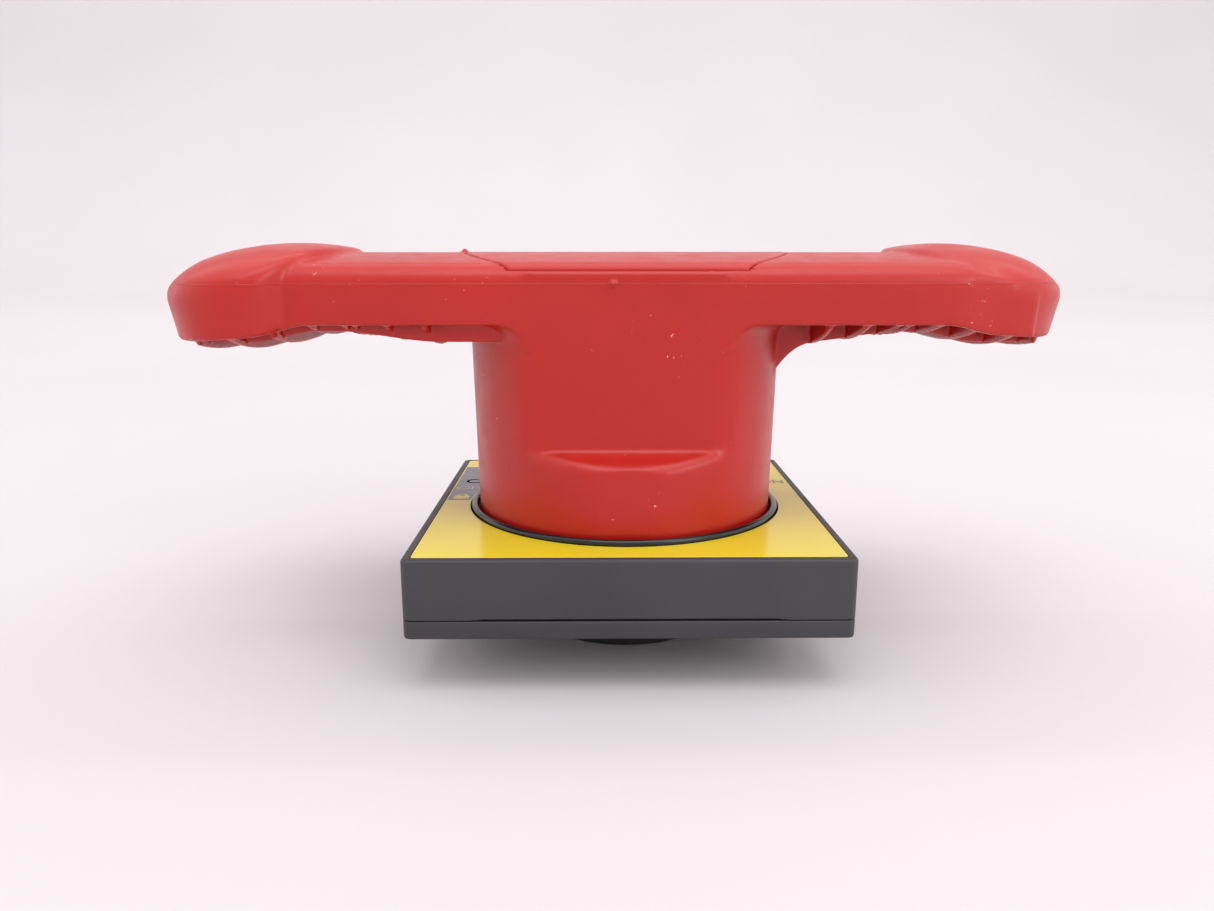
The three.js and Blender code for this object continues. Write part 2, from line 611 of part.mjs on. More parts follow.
add('base_housing', baseHousing(), 'grey');
add('base_back_cover', backCover(), 'grey');
add('legend_plate', legendPlate(), 'yellow');
add('trim_ring', trimRing(), 'black');
add('shaft_seal', shaftSeal(), 'rubber');
add('index_ring', indexRing(), 'steel');
add('wave_washer', waveWasher(), 'steel');
add('rear_boss', rearBoss(), 'black');
add('door_gasket', doorGasket(), 'rubber');
add('interlock_plate', interlockPlate(), 'steel');
addEach('interlock_screw', LOCK_SPOTS, interlockScrew, 'steel');
addEach('cover_screw', POST_SPOTS, coverScrew, 'steel');
addEach('door_insert', INSERT_SPOTS, doorInsert, 'brass');

add('handle_shell', handleShell(), 'red');
add('driver_hub', driverHub(), 'black');
add('retaining_plate', retainingPlate(), 'steel');
addEach('hub_screw', HUB_SCREW_SPOTS, hubScrew, 'steel');
addEach('plate_screw', PLATE_SCREW_SPOTS, plateScrew, 'steel');
add('tongue_spring', tongueSpring(), 'steel');

add('top_cover', topCover(), 'red');
add('lock_tongue', lockTongue(), 'steel');
addEach('cover_pin', COVER_PINS, coverPin, 'steel');

for (const [name, side] of [['right', 1], ['left', -1]]) {
  add(`lock_bolt_${name}`, lockBolt(side), 'steel');
  add(`bolt_pin_${name}`, boltPin(side), 'steel');
}

export default object;
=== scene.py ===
"""Door-mounted rotary operating handle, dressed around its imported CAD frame.

Lengths in this file are millimetres until they reach a mesh; MM turns them into metres.
X runs along the grip, Y is away from the camera, Z is the turning axis.
"""
import json
import math

import bmesh
import bpy
import numpy as np
import openvdb
from mathutils import Matrix, Vector


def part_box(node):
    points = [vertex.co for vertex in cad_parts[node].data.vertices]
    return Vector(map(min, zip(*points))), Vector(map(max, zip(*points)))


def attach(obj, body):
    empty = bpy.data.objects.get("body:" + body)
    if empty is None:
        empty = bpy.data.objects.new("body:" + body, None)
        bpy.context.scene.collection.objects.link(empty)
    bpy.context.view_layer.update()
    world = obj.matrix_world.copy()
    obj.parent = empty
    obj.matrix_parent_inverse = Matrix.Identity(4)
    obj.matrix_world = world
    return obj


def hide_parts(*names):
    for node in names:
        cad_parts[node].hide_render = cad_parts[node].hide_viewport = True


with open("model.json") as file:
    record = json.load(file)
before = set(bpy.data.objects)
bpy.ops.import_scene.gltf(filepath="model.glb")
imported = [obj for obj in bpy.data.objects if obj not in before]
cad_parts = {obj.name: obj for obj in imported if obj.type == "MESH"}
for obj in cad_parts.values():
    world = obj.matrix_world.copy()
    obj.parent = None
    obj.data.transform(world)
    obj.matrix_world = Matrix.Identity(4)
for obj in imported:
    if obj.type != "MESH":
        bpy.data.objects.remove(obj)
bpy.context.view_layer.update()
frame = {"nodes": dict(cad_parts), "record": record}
MM = 0.001


def span(node):
    """Lowest and highest corner of a CAD node, in millimetres."""
    low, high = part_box(node)
    return np.array(low) / MM, np.array(high) / MM


# ---------- sizes, from the frame where the frame holds them ----------
HOUSING_LOW, HOUSING_HIGH = span("base_housing")
COVER_LOW, COVER_HIGH = span("base_back_cover")
SHELL_LOW, SHELL_HIGH = span("handle_shell")
LID_LOW, LID_HIGH = span("top_cover")
RING_LOW, RING_HIGH = span("trim_ring")
FILM_LOW, FILM_HIGH = span("legend_plate")
BOSS_HIGH = span("rear_boss")[1]
TONGUE_LOW, TONGUE_HIGH = span("lock_tongue")

HALF_BASE = HOUSING_HIGH[0]
PLATE_Z = HOUSING_HIGH[2]
BASE_FLOOR = COVER_LOW[2]
FOOT_Z = SHELL_LOW[2]
TIP_X = SHELL_HIGH[0]
RING_R = RING_HIGH[0]
LID_R = LID_HIGH[0]
LID_Y = LID_HIGH[1]
LID_UNDER = LID_LOW[2]

WALL_Y = 30.7            # flat walls of the grip
PARTING_Z = 87.4         # mould parting line along the walls
CREST_Z = 94.3           # crest of the straight arms
CROWN = 3.0              # how much the arm's top falls from crest to wall
ARM_FLOOR = 78.4         # lower edge of the arm's walls
LOBE_FLOOR = 75.0        # lower edge of the lobes' walls
ARM_EDGE = 4.2           # rounding between an arm's top and its walls
ARM_FADE = 72.0          # from here the arm's top falls away below the dome
ARM_END = 92.0           # the arm's form ends inside the lobe
LOBE_MIDDLE = 84.0       # middle of a lobe's outline
LOBE_SHIFT = 3.6         # it lies this far to the side that the turning hand pushes
LOBE_SKEW = 0.05         # turn of its outline, as a slope
LOBE_INNER = 17.3        # its reach towards the column
LOBE_TIP = TIP_X - 0.5   # its reach outwards
LOBE_Y = 32.0            # and its half width
LOBE_POWER = 2.15        # 2 is an ellipse, more is squarer
CREASE_X = 74.0          # the arm's walls turn back here
CREASE_TURN = math.radians(15)
DOME_MIDDLE = 77.5       # highest place of the dome
DOME_INNER = 27.0        # its reach towards the column
DOME_BASE = 85.6
DOME_RISE = 10.9
TIP_FALL = 2.0           # how much lower the parting line lies at the tips
NECK_FILLET = 4.4
COLUMN_FOOT_R = 37.4
COLUMN_TOP_R = 38.5
COLUMN_FLARE = 50.0      # height over which the radius changes
LEDGE_Z = 50.1           # the flats on the column end here
LEDGE_FALL = 0.42        # slope of the ledge below them
SKIN = 2.8
RIB = 1.5
RIB_START = 45.0
RIB_PITCH = 8.3
RIB_COUNT = 8
DOUBLE_RIB = 2           # this one is a pair of thin plates
INNER_WEB_Y = 13.0       # the long webs, on either side of an arm's middle
OUTER_WEB_Y = 25.5
WEB_START = 26.0
WEB_SWEEP = 10.0         # width of the inner web's sweep into the column
ROOM_START = 40.6        # the arms are hollow from here outwards
DECK_UNDER = 86.0        # underside of the deck below the cover
HUB_SPOT = 17.0          # posts for the screws from the hub
LID_PROUD = 0.08
LID_GAP = 0.15
COVER_SPOT = 39.6        # screws of the base's back cover
INSERT_SPOT = 34.5       # threaded inserts for the door screws
VOXEL = 0.5
LID_VOXEL = 0.3


# ---------- distance fields ----------
def smooth(a, b, t):
    k = np.clip((t - a) / (b - a), 0, 1)
    return k * k * (3 - 2 * k)


def mix(a, b, k):
    return a + (b - a) * k


def both(a, b, r=0.0):
    """Where both fields are inside, with the shared edge rounded to radius r."""
    if r == 0:
        return np.maximum(a, b)
    corner = np.sqrt(np.maximum(a + r, 0) ** 2 + np.maximum(b + r, 0) ** 2)
    return np.minimum(-r, np.maximum(a, b)) + corner


def either(a, b, r=0.0):
    """Where either field is inside, with a fillet of radius r in the hollow between them."""
    return -both(-a, -b, r)


def without(a, b, r=0.0):
    return both(a, -b, r)


class Grid:
    """Coordinates of a block of voxels, in millimetres, ready to broadcast."""

    def __init__(self, low, high, step):
        self.step = step
        self.origin = np.array(low, float)
        axes = [np.arange(low[k], high[k] + step, step, dtype=np.float32) for k in range(3)]
        self.x = axes[0][:, None, None]
        self.y = axes[1][None, :, None]
        self.z = axes[2][None, None, :]
        self.shape = tuple(len(a) for a in axes)

    def box(self, low, high):
        parts = [np.maximum(low[k] - c, c - high[k]) for k, c in enumerate((self.x, self.y, self.z))]
        return np.maximum(np.maximum(parts[0], parts[1]), parts[2])

    def post(self, x, y, radius):
        return np.sqrt((self.x - x) ** 2 + (self.y - y) ** 2) - radius

    def ball(self, centre, radius):
        x, y, z = centre
        return np.sqrt((self.x - x) ** 2 + (self.y - y) ** 2 + (self.z - z) ** 2) - radius


def field_to_mesh(name, grid, field, adaptivity=0.0):
    """The zero surface of a distance field as a Blender mesh in metres."""
    values = np.ascontiguousarray(np.broadcast_to(field, grid.shape), dtype=np.float32)
    band = 3.0 * grid.step
    values = np.clip(values, -band, band)
    vdb = openvdb.FloatGrid(band)
    vdb.copyFromArray(values)
    points, triangles, quads = vdb.convertToPolygons(0.0, adaptivity)
    points = (points * grid.step + grid.origin) * MM
    mesh = bpy.data.meshes.new(name)
    mesh.from_pydata(points.tolist(), [], [list(f)[::-1] for f in triangles.tolist()]
                     + [list(f)[::-1] for f in quads.tolist()])
    mesh.validate()
    mesh.shade_smooth()
    return mesh


# ---------- the grip ----------
def height_field(z, surface, step):
    """Distance to a height map, scaled by its slope."""
    slope_x, slope_y = np.gradient(surface, step)[:2] if surface.shape[1] > 1 else (0, 0)
    steep = np.sqrt(1 + np.minimum(slope_x ** 2 + slope_y ** 2, 25.0))
    return (z - surface[:, :, None]) / steep[:, :, None]


def wall_floor(d):
    """Lower edge of the grip's walls at distance d from the middle."""
    floor = mix(ARM_FLOOR, LOBE_FLOOR + 0.9, smooth(70, 84, d)) - 0.9 * smooth(82, 98, d)
    return floor + 3.0 * np.clip((d - LOBE_TIP + 6.2) / 3.6, 0, 1) ** 2


def arm_view(g):
    """Distance from the middle, and Y as the right arm sees it. The left arm is turned half a turn."""
    return np.abs(g.x), g.y * np.where(g.x >= 0, 1, -1)


def lobe_plan(d, y, z, inset):
    """Distance to a lobe's outline. Its walls lean inwards below the parting line."""
    draft = np.clip(PARTING_Z - TIP_FALL * smooth(90, 106, d) - z, 0, 14)
    along = d - LOBE_MIDDLE - LOBE_SKEW * y
    outer, inner = LOBE_TIP - LOBE_MIDDLE - 0.24 * draft, LOBE_INNER - 0.05 * draft
    reach = np.where(along > 0, outer, inner) - inset
    width = LOBE_Y - 0.07 * draft - inset
    a, b = np.abs(along) / reach, np.abs(y - LOBE_SHIFT) / width
    power = LOBE_POWER
    ring = np.maximum((a ** power + b ** power) ** (1 / power), 0.05)
    slope_x, slope_y = a ** (power - 1) / reach, b ** (power - 1) / width
    slope = ring ** (1 - power) * np.sqrt(slope_x ** 2 + slope_y ** 2)
    return (ring - 1) / np.maximum(slope, 0.01)


def grip(g, inset):
    """The grip's outer form, or its inside when inset is positive."""
    d, y = arm_view(g)
    side = np.abs(y)
    flat_d, flat_y = d[:, :, 0] + 0 * y[:, :, 0], y[:, :, 0]
    crown = CREST_Z - CROWN * (flat_y / WALL_Y) ** 2
    crown = crown - 3.5 * np.clip((flat_d - ARM_FADE) / 12, 0, 2) ** 1.5
    wall = WALL_Y - inset
    arm = both(side - wall, height_field(g.z, crown - inset, g.step), max(ARM_EDGE - inset, 0.8))
    turned_back = (d - CREASE_X) * math.sin(CREASE_TURN) + (side - wall) * math.cos(CREASE_TURN)
    arm = both(both(arm, turned_back), d - ARM_END)

    along = flat_d - LOBE_SKEW * flat_y
    u = np.abs(along - DOME_MIDDLE) / np.where(along > DOME_MIDDLE, LOBE_TIP - DOME_MIDDLE, DOME_INNER)
    reach = np.where(along > LOBE_MIDDLE, LOBE_TIP - LOBE_MIDDLE, LOBE_INNER + 20)
    outer = np.clip(np.abs(along - LOBE_MIDDLE) / reach, 0, 0.999) ** LOBE_POWER
    half = LOBE_Y * (1 - outer) ** (1 / LOBE_POWER)
    v = np.clip(np.abs(flat_y - LOBE_SHIFT) / half, 0, 1)
    dome = (1 - np.clip(u, 0, 1) ** 1.9) ** 0.75 * (1 - v ** 3.2) ** 0.55
    base = DOME_BASE - 1.6 * smooth(94, 107, along)
    top = height_field(g.z, base + DOME_RISE * dome - inset, g.step)
    lobe = both(lobe_plan(d, y, g.z, inset), top, 1.2)
    return either(arm, lobe, 1.0)


def rib_low(d, side):
    """Lower edge of a cross rib: bowed down between the walls."""
    middle = mix(mix(71.9, 74.8, smooth(40, 68, d)), 71.8, smooth(71, 84, d))
    middle = middle + 2.2 * smooth(94, 106, d)
    return middle + (wall_floor(d) - middle) * np.clip(side / WALL_Y, 0, 1) ** 2.5


def web_low(d, from_shaft):
    """Lower edge of the inner webs, which sweep down into the column."""
    low = mix(mix(73.2, 75.6, smooth(42, 66, d)), 73.2, smooth(70, 84, d))
    low = low + 2.0 * smooth(92, 104, d)
    return low - 6.5 * np.clip(1 - from_shaft / WEB_SWEEP, 0, 1) ** 2.4


def ribs(g):
    """The cross ribs and the long webs under the arms."""
    d, y = arm_view(g)
    cross = np.full(g.shape[:1] + (1, 1), 50.0, np.float32)
    for i in range(RIB_COUNT):
        away = np.abs(d - RIB_START - i * RIB_PITCH)
        plate = np.abs(away - 1.1) - 0.5 if i == DOUBLE_RIB else away - RIB / 2
        cross = np.minimum(cross, plate)
    lobe = smooth(66, 80, d)
    cross = both(cross, rib_low(d, np.abs(y - LOBE_SHIFT * lobe)) - g.z, 0.4)
    from_shaft = np.sqrt(g.x ** 2 + g.y ** 2) - COLUMN_TOP_R
    inner_web = both(np.abs(y + INNER_WEB_Y) - RIB / 2, web_low(d, from_shaft) - g.z, 0.4)
    outer_web = both(np.abs(y - OUTER_WEB_Y) - RIB / 2, web_low(d, 2 * WEB_SWEEP) + 1.2 - g.z, 0.4)
    webs = both(np.minimum(inner_web, outer_web), WEB_START - d)
    return both(np.minimum(cross, webs), d - LOBE_TIP + 2)


def shaft_radius(z):
    return mix(COLUMN_FOOT_R, COLUMN_TOP_R, np.clip((z - FOOT_Z) / COLUMN_FLARE, 0, 1.2))


def neck(g):
    """The fillet that carries the column into the undersides of the arms."""
    shaft = np.sqrt(g.x ** 2 + g.y ** 2) - shaft_radius(g.z)
    fillet = both(either(shaft, ARM_FLOOR - g.z, NECK_FILLET), np.abs(g.y) - WALL_Y, 0.9)
    near = both(shaft - NECK_FILLET - 0.5, np.abs(g.z - ARM_FLOOR + 1) - 5)
    return both(fillet, near)


def column(g, inset):
    """The column: round, with a flat at the front and the back that ends in a sloping ledge."""
    round_ = np.sqrt(g.x ** 2 + g.y ** 2) - shaft_radius(g.z) + inset
    side = np.abs(g.y)
    ledge = (LEDGE_Z - inset - LEDGE_FALL * (side - WALL_Y) - g.z) * 0.92
    flats = both(WALL_Y - inset - side, ledge, 0.7)
    return without(round_, flats, 2.0)


def lid_outline(g, grow):
    """The cover's outline: a disc clipped by two straight edges."""
    return both(g.post(0, 0, LID_R + grow), np.abs(g.y) - LID_Y - grow)


def handle_field(g):
    """The red moulding: grip, column, neck and ribs, with the room for the mechanism cut out."""
    d = np.abs(g.x)
    outer_grip = both(grip(g, 0.0), wall_floor(d) - g.z, 0.5)
    stem = both(column(g, 0.0), both(FOOT_Z - g.z, g.z - 90), 0.6)
    outside = np.minimum(np.minimum(outer_grip, stem), neck(g))
    room = both(grip(g, SKIN), ROOM_START - d, 1.0)
    shell = without(outside, room)
    shell = np.minimum(shell, both(ribs(g), grip(g, 1.2)))
    shell = without(shell, both(column(g, 3.0), g.z - DECK_UNDER, 1.0))
    guide = g.box((-26, -4.2, 78.5), (26, 4.2, 88))
    shell = np.minimum(shell, guide)
    post_height = g.box((-60, -60, 32.1), (60, 60, 88))
    for x, y in corner_spots(HUB_SPOT):
        shell = np.minimum(shell, both(g.post(x, y, 4), post_height))
    slot = g.box((TONGUE_LOW[0] - 0.3, -1.8, 20), (TONGUE_HIGH[0] + 0.3, 1.8, 110))
    flange_room = g.box((-12.3, -5.3, LID_UNDER - 2), (12.3, 5.3, 110))
    seat = both(lid_outline(g, LID_GAP), LID_UNDER - 0.3 - g.z)
    for hollow in (slot, flange_room, seat):
        shell = without(shell, hollow)
    for spot in ((-3.5, -WALL_Y, PARTING_Z), (-LID_R - 0.6, 0, CREST_Z)):
        shell = np.minimum(shell, g.ball(spot, 0.9))
    return shell


def lid_field(g):
    """The cover continues the grip's top, a hair proud of it."""
    body = both(lid_outline(g, 0.0), grip(g, -LID_PROUD), 0.25)
    return both(body, LID_UNDER - g.z, 0.3)


# ---------- mesh helpers ----------
def placed(name, data):
    item = bpy.data.objects.new(name, data)
    bpy.context.scene.collection.objects.link(item)
    return item


def dress(piece, body, slot, material, *nodes):
    """Gives a piece its material and body, and puts it in the place of CAD nodes."""
    piece.data.materials.clear()
    piece.data.materials.append(material)
    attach(piece, body)
    if nodes:
        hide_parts(*nodes)
    return piece


def new_piece(name, mesh, body, slot, material, *nodes):
    return dress(placed(name, mesh), body, slot, material, *nodes)


def smooth_by_angle(mesh, degrees=35):
    mesh.shade_smooth()
    mesh.set_sharp_from_angle(angle=math.radians(degrees))


def loops_mesh(name, rings):
    """A closed body from rings of equal length, each joined to the next and the last to the first."""
    count = len(rings[0])
    points = [tuple(c * MM for c in p) for ring in rings for p in ring]
    faces = []
    for r in range(len(rings)):
        a0, b0 = r * count, (r + 1) % len(rings) * count
        for i in range(count):
            j = (i + 1) % count
            faces.append((a0 + i, a0 + j, b0 + j, b0 + i))
    mesh = bpy.data.meshes.new(name)
    mesh.from_pydata(points, [], faces)
    face_outwards(mesh)
    smooth_by_angle(mesh)
    return mesh


def face_outwards(mesh):
    bm = bmesh.new()
    bm.from_mesh(mesh)
    bmesh.ops.recalc_face_normals(bm, faces=bm.faces)
    bm.to_mesh(mesh)
    bm.free()


def circle(radius, z, angles):
    return [(radius * math.cos(a), radius * math.sin(a), z) for a in angles]


def evenly(count):
    return [2 * math.pi * i / count for i in range(count)]


def turned(name, profile, x=0.0, y=0.0, count=96):
    """A body of revolution from [radius, height] points. Points on the axis become caps."""
    angles = evenly(count)
    solid = profile[0][0] == 0
    rings = [circle(r, z, angles) for r, z in profile if r > 0]
    points = [(px * MM + x * MM, py * MM + y * MM, pz * MM) for ring in rings for px, py, pz in ring]
    faces = []
    last = len(rings) - (1 if solid else 0)
    for r in range(last):
        a0, b0 = r * count, (r + 1) % len(rings) * count
        faces += [(a0 + i, a0 + (i + 1) % count, b0 + (i + 1) % count, b0 + i) for i in range(count)]
    if solid:
        faces.append(tuple(range(count)))
        faces.append(tuple((len(rings) - 1) * count + i for i in range(count)))
    mesh = bpy.data.meshes.new(name)
    mesh.from_pydata(points, [], faces)
    face_outwards(mesh)
    smooth_by_angle(mesh)
    return mesh


SIDE_STEPS = 30          # points along a straight side of the base's outline
CORNER_STEPS = 10        # and around a corner


def square(inset, z, radius=1.8):
    """A rounded square loop of the base's outline, moved inwards by inset."""
    half = HALF_BASE - inset
    r = max(radius - inset, 0.15)
    points = []
    for quarter in range(4):
        middle = math.pi / 4 + quarter * math.pi / 2
        cx = (half - r) * math.copysign(1, math.cos(middle))
        cy = (half - r) * math.copysign(1, math.sin(middle))
        start = quarter * math.pi / 2
        arc = [(cx + r * math.cos(start + k * math.pi / 2 / CORNER_STEPS),
                cy + r * math.sin(start + k * math.pi / 2 / CORNER_STEPS)) for k in range(CORNER_STEPS + 1)]
        nx, ny = math.cos(start + math.pi / 2), math.sin(start + math.pi / 2)
        turn_x, turn_y = -ny, nx
        length = 2 * (half - r)
        side = [(arc[-1][0] + turn_x * length * k / SIDE_STEPS,
                 arc[-1][1] + turn_y * length * k / SIDE_STEPS) for k in range(1, SIDE_STEPS)]
        points += [(px, py, z) for px, py in arc + side]
    return points


LOOP_ANGLES = [math.atan2(y, x) for x, y, _ in square(0, 0)]


def cut_with(mesh_object, cutters):
    """Subtracts closed cutter meshes and applies the result."""
    for cutter in cutters:
        tool = placed("cutter", cutter)
        modifier = mesh_object.modifiers.new("cut", "BOOLEAN")
        modifier.operation = "DIFFERENCE"
        modifier.solver = "EXACT"
        modifier.object = tool
        bpy.context.view_layer.update()
        evaluated = mesh_object.evaluated_get(bpy.context.evaluated_depsgraph_get())
        result = bpy.data.meshes.new_from_object(evaluated)
        mesh_object.modifiers.clear()
        mesh_object.data = result
        bpy.data.objects.remove(tool)
        bpy.data.meshes.remove(cutter)
    smooth_by_angle(mesh_object.data)


def merge(name, meshes):
    """Several closed bodies in one mesh."""
    bm = bmesh.new()
    for mesh in meshes:
        bm.from_mesh(mesh)
        bpy.data.meshes.remove(mesh)
    joined = bpy.data.meshes.new(name)
    bm.to_mesh(joined)
    bm.free()
    smooth_by_angle(joined)
    return joined


def softened(name, node, width):
    """A CAD node's own shape with its edges rounded."""
    mesh = frame["nodes"][node].data.copy()
    mesh.name = name
    bm = bmesh.new()
    bm.from_mesh(mesh)
    bmesh.ops.remove_doubles(bm, verts=bm.verts, dist=1e-6)
    bmesh.ops.dissolve_limit(bm, angle_limit=math.radians(1), verts=bm.verts, edges=bm.edges)
    sharp = [e for e in bm.edges if len(e.link_faces) == 2 and e.calc_face_angle(0) > math.radians(40)]
    bmesh.ops.bevel(bm, geom=sharp, offset=width * MM, segments=2, affect="EDGES",
                    profile=0.5, clamp_overlap=True)
    bm.to_mesh(mesh)
    bm.free()
    smooth_by_angle(mesh, 40)
    return mesh


# ---------- materials ----------
def nodes_of(material):
    material.use_nodes = True
    tree = material.node_tree
    return tree, tree.nodes["Principled BSDF"]


def noise(tree, coordinates, scale, detail=3.0, roughness=0.5):
    node = tree.nodes.new("ShaderNodeTexNoise")
    node.inputs["Scale"].default_value = scale
    node.inputs["Detail"].default_value = detail
    node.inputs["Roughness"].default_value = roughness
    tree.links.new(coordinates, node.inputs["Vector"])
    return node.outputs["Fac"]


def ramp(tree, value, stops):
    node = tree.nodes.new("ShaderNodeValToRGB")
    elements = node.color_ramp.elements
    while len(elements) < len(stops):
        elements.new(0.5)
    for element, (position, colour) in zip(elements, stops):
        element.position = position
        element.color = (*colour, 1)
    tree.links.new(value, node.inputs["Fac"])
    return node.outputs["Color"]


def remap(tree, value, low, high, out_low, out_high):
    node = tree.nodes.new("ShaderNodeMapRange")
    for key, number in (("From Min", low), ("From Max", high), ("To Min", out_low), ("To Max", out_high)):
        node.inputs[key].default_value = number
    tree.links.new(value, node.inputs["Value"])
    return node.outputs["Result"]


def bump(tree, shader, heights):
    """Stacks bump nodes: each entry is (height socket, distance in millimetres, strength)."""
    normal = None
    for height, distance, strength in heights:
        node = tree.nodes.new("ShaderNodeBump")
        node.inputs["Distance"].default_value = distance * MM
        node.inputs["Strength"].default_value = strength
        tree.links.new(height, node.inputs["Height"])
        if normal is not None:
            tree.links.new(normal, node.inputs["Normal"])
        normal = node.outputs["Normal"]
    tree.links.new(normal, shader.inputs["Normal"])


def object_space(tree):
    return tree.nodes.new("ShaderNodeTexCoord").outputs["Object"]


def moulded(name, dark, light, roughness, grain=900.0, grain_depth=0.02, spread=0.06, specular=0.5):
    """Moulded plastic: slow colour drift, fine grain, and a roughness that wanders."""
    material = bpy.data.materials.new(name)
    tree, shader = nodes_of(material)
    where = object_space(tree)
    drift = noise(tree, where, 28.0, 4.0)
    tree.links.new(ramp(tree, drift, [(0.3, dark), (0.7, light)]), shader.inputs["Base Color"])
    gloss = noise(tree, where, 120.0, 5.0, 0.6)
    wander = remap(tree, gloss, 0.3, 0.7, roughness - spread, roughness + spread)
    tree.links.new(wander, shader.inputs["Roughness"])
    shader.inputs["Specular IOR Level"].default_value = specular
    fine = noise(tree, where, grain, 2.0)
    wave = noise(tree, where, 60.0, 2.0)
    bump(tree, shader, [(fine, grain_depth, 0.35), (wave, 0.15, 0.12)])
    return material


def red_plastic():
    """Semi-gloss red moulding with a parting line and pale scuffs."""
    material = bpy.data.materials.new("red_moulding")
    tree, shader = nodes_of(material)
    where = object_space(tree)
    drift = noise(tree, where, 22.0, 4.0)
    red = ramp(tree, drift, [(0.25, (0.425, 0.006, 0.002)), (0.75, (0.480, 0.009, 0.003))])
    scuff_spots = noise(tree, where, 650.0, 3.0, 0.7)
    scuff_zones = noise(tree, where, 45.0, 2.0)
    zone = remap(tree, scuff_zones, 0.55, 0.63, 0.0, 1.0)
    spot = remap(tree, scuff_spots, 0.68, 0.72, 0.0, 1.0)
    scuff = math_node(tree, "MULTIPLY", zone, spot)
    base = mix_colour(tree, scuff, red, (0.85, 0.50, 0.46))
    tree.links.new(base, shader.inputs["Base Color"])
    gloss = noise(tree, where, 150.0, 5.0, 0.6)
    tree.links.new(remap(tree, gloss, 0.3, 0.7, 0.30, 0.42), shader.inputs["Roughness"])
    fine = noise(tree, where, 1100.0, 2.0)
    wave = noise(tree, where, 45.0, 2.0)
    height = tree.nodes.new("ShaderNodeSeparateXYZ")
    tree.links.new(where, height.inputs[0])
    line = band(tree, height.outputs["Z"], PARTING_Z * MM, 0.12 * MM)
    bump(tree, shader, [(fine, 0.02, 0.3), (wave, 0.2, 0.10), (line, 0.1, 0.8)])
    return material


def math_node(tree, operation, a, b=None):
    """A math node; a and b are sockets or numbers."""
    node = tree.nodes.new("ShaderNodeMath")
    node.operation = operation
    for socket, value in zip(node.inputs, (a, b)):
        if value is None:
            continue
        if isinstance(value, (int, float)):
            socket.default_value = value
        else:
            tree.links.new(value, socket)
    return node.outputs[0]


def band(tree, value, middle, half):
    """1 on the middle, falling to 0 at half either side of it."""
    away = math_node(tree, "ABSOLUTE", math_node(tree, "SUBTRACT", value, middle))
    return remap(tree, away, 0.0, half, 1.0, 0.0)


def mix_colour(tree, factor, a, colour):
    node = tree.nodes.new("ShaderNodeMix")
    node.data_type = "RGBA"
    tree.links.new(factor, node.inputs["Factor"])
    tree.links.new(a, node.inputs["A"])
    node.inputs["B"].default_value = (*colour, 1)
    return node.outputs["Result"]


def printed_film(name, dark, light, roughness=0.16):
    """Glossy printed film with a faint orange-peel surface."""
    material = bpy.data.materials.new(name)
    tree, shader = nodes_of(material)
    where = object_space(tree)
    drift = noise(tree, where, 30.0, 3.0)
    tree.links.new(ramp(tree, drift, [(0.3, dark), (0.7, light)]), shader.inputs["Base Color"])
    gloss = noise(tree, where, 200.0, 4.0)
    wander = remap(tree, gloss, 0.3, 0.7, roughness - 0.03, roughness + 0.05)
    tree.links.new(wander, shader.inputs["Roughness"])
    peel = noise(tree, where, 500.0, 2.0)
    bump(tree, shader, [(peel, 0.02, 0.08)])
    return material


def metal(name, dark, light, roughness):
    material = bpy.data.materials.new(name)
    tree, shader = nodes_of(material)
    shader.inputs["Metallic"].default_value = 1.0
    where = object_space(tree)
    stretched = tree.nodes.new("ShaderNodeMapping")
    stretched.inputs["Scale"].default_value = (1.0, 14.0, 1.0)
    tree.links.new(where, stretched.inputs["Vector"])
    brushed = noise(tree, stretched.outputs["Vector"], 260.0, 4.0)
    tree.links.new(ramp(tree, brushed, [(0.3, dark), (0.7, light)]), shader.inputs["Base Color"])
    wander = remap(tree, brushed, 0.3, 0.7, roughness - 0.08, roughness + 0.1)
    tree.links.new(wander, shader.inputs["Roughness"])
    bump(tree, shader, [(brushed, 0.02, 0.25)])
    return material


RED = red_plastic()
GREY = moulded("grey_moulding", (0.038, 0.037, 0.042), (0.048, 0.047, 0.053), 0.50,
               grain=1400.0, grain_depth=0.03, specular=0.4)
BLACK_GLOSS = moulded("black_gloss_moulding", (0.006, 0.006, 0.007), (0.012, 0.012, 0.014), 0.16,
                      grain=500.0, grain_depth=0.01, spread=0.04)
BLACK = moulded("black_moulding", (0.012, 0.012, 0.013), (0.022, 0.022, 0.024), 0.5)
RUBBER = moulded("black_rubber", (0.012, 0.012, 0.012), (0.024, 0.023, 0.022), 0.75,
                 grain=1800.0, grain_depth=0.05)
YELLOW = printed_film("yellow_print", (0.72, 0.585, 0.016), (0.78, 0.640, 0.022))
GREY_PRINT = printed_film("grey_print", (0.075, 0.075, 0.085), (0.095, 0.095, 0.105))
PALE_PRINT = printed_film("pale_print", (0.42, 0.42, 0.42), (0.50, 0.50, 0.50))
STEEL = metal("zinc_steel", (0.42, 0.43, 0.45), (0.62, 0.63, 0.65), 0.32)
BRASS = metal("turned_brass", (0.55, 0.38, 0.13), (0.72, 0.52, 0.22), 0.28)
SLOT_MATERIALS = {
    "red_plastic": RED, "grey_plastic": GREY, "black_gloss": BLACK_GLOSS, "black_matte": BLACK,
    "rubber": RUBBER, "yellow_film": YELLOW, "steel": STEEL, "brass": BRASS,
}


# ---------- camera ----------
LENS = 27.1              # focal length for a 36 mm wide sensor
PITCH = math.radians(12.4)
HEADING = math.radians(0.5)
EYE = (-6.5, -233.2, PLATE_Z + 63.2)


